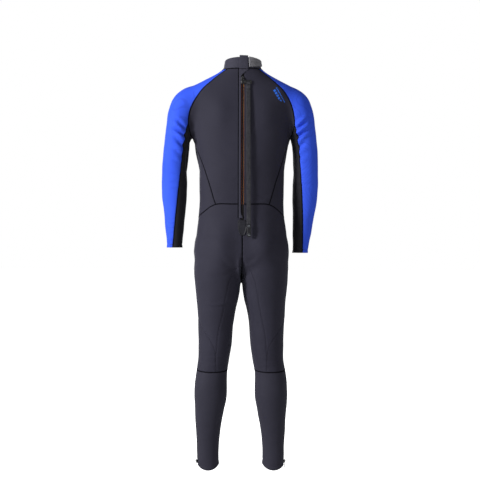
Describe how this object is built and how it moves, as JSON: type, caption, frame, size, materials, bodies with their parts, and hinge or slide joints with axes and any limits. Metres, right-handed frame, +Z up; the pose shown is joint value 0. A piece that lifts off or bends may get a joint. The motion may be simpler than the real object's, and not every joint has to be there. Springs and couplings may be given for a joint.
{
  "type": "full wetsuit",
  "caption": "Full-length long-sleeved neoprene wetsuit with a back zip, a long pull leash, a wrap-over collar tab, contrasting sleeves and ankle zips.",
  "frame": {"origin": "middle of the neck opening, at the height of the collar seam's upper part", "axes": "+Z up along the standing suit, +X to the wearer's left, +Y to the wearer's back (the zip side)"},
  "size_m": [0.5482, 0.2451, 1.4493],
  "materials": {
    "black_neoprene": "matte knitted lining over 3 mm foamed rubber",
    "stretch_neoprene": "matte fine knit",
    "blue_neoprene": "matte knitted lining with a tone-on-tone line print",
    "knee_neoprene": "matte abrasion-resistant coating",
    "zip_tape": "woven tape",
    "zip_coil": "woven-in plastic coil",
    "zip_metal": "dark coated metal",
    "garage_rubber": "moulded rubber, satin",
    "leash_webbing": "woven polyester",
    "grip_rubber": "moulded rubber, satin",
    "tab_rubber": "moulded rubber, satin",
    "hook": "hook fastener",
    "loop": "loop fastener"
  },
  "bodies": {
    "suit": {"back_panel_left": "black_neoprene", "back_panel_right": "black_neoprene", "side_panel_left": "black_neoprene", "side_panel_right": "black_neoprene", "chest_panel": "black_neoprene", "sleeve_left": "blue_neoprene", "sleeve_right": "blue_neoprene", "underarm_left": "stretch_neoprene", "underarm_right": "stretch_neoprene", "thigh_back_left": "black_neoprene", "thigh_back_right": "black_neoprene", "inner_thigh_left": "black_neoprene", "inner_thigh_right": "black_neoprene", "thigh_front_left": "black_neoprene", "thigh_front_right": "black_neoprene", "knee_panel_left": "knee_neoprene", "knee_panel_right": "knee_neoprene", "calf_left": "black_neoprene", "calf_right": "black_neoprene", "shin_left": "black_neoprene", "shin_right": "black_neoprene", "collar": "stretch_neoprene", "back_zip_tape_left": "zip_tape", "back_zip_tape_right": "zip_tape", "back_zip_coil_left": "zip_coil", "back_zip_coil_right": "zip_coil", "back_zip_bottom_stop": "zip_metal", "back_zip_top_stops": "zip_metal", "zip_underflap": "black_neoprene", "zip_placket": "stretch_neoprene", "zip_garage": "garage_rubber", "loop_patch": "loop", "ankle_zip_tapes_left": "zip_tape", "ankle_zip_tapes_right": "zip_tape", "ankle_zip_coils_left": "zip_coil", "ankle_zip_coils_right": "zip_coil", "ankle_zip_stop_left": "zip_metal", "ankle_zip_stop_right": "zip_metal", "ankle_gusset_left": "stretch_neoprene", "ankle_gusset_right": "stretch_neoprene"},
    "back_slider": {"back_zip_slider": "zip_metal"},
    "back_puller": {"back_zip_puller": "zip_metal", "leash_loop": "leash_webbing", "leash_webbing": "leash_webbing", "leash_grip": "grip_rubber"},
    "collar_closure": {"collar_flap": "black_neoprene", "collar_tab": "tab_rubber", "hook_patch": "hook"},
    "ankle_slider_left": {"ankle_zip_slider_left": "zip_metal"},
    "ankle_puller_left": {"ankle_zip_puller_left": "zip_metal"},
    "ankle_slider_right": {"ankle_zip_slider_right": "zip_metal"},
    "ankle_puller_right": {"ankle_zip_puller_right": "zip_metal"}
  },
  "joints": [
    {"name": "back_zip_slide", "type": "slide", "parent": "suit", "child": "back_slider", "axis": [0, 0.0599, -0.9982], "range_m": [0, 0.45]},
    {"name": "back_puller_hinge", "type": "hinge", "parent": "back_slider", "child": "back_puller", "pos_m": [0, 0.06593, -0.06379], "axis": [1, 0, 0], "range_deg": [0, 120]},
    {"name": "collar_closure_hinge", "type": "hinge", "parent": "suit", "child": "collar_closure", "pos_m": [0.01228, 0.05972, -0.00492], "axis": [0.0161, 0.0612, -0.998], "range_deg": [0, 100]},
    {"name": "ankle_zip_slide_left", "type": "slide", "parent": "suit", "child": "ankle_slider_left", "axis": [0.0367, 0.0311, 0.9988], "range_m": [0, 0.12]},
    {"name": "ankle_zip_slide_right", "type": "slide", "parent": "suit", "child": "ankle_slider_right", "axis": [-0.0367, 0.0311, 0.9988], "range_m": [0, 0.12]},
    {"name": "ankle_puller_hinge_left", "type": "hinge", "parent": "ankle_slider_left", "child": "ankle_puller_left", "pos_m": [0.1564, 0.00127, -1.40215], "axis": [0.2057, -0.9783, 0.0229], "range_deg": [0, 120]},
    {"name": "ankle_puller_hinge_right", "type": "hinge", "parent": "ankle_slider_right", "child": "ankle_puller_right", "pos_m": [-0.1564, 0.00127, -1.40215], "axis": [0.2057, 0.9783, -0.0229], "range_deg": [0, 120]}
  ]
}
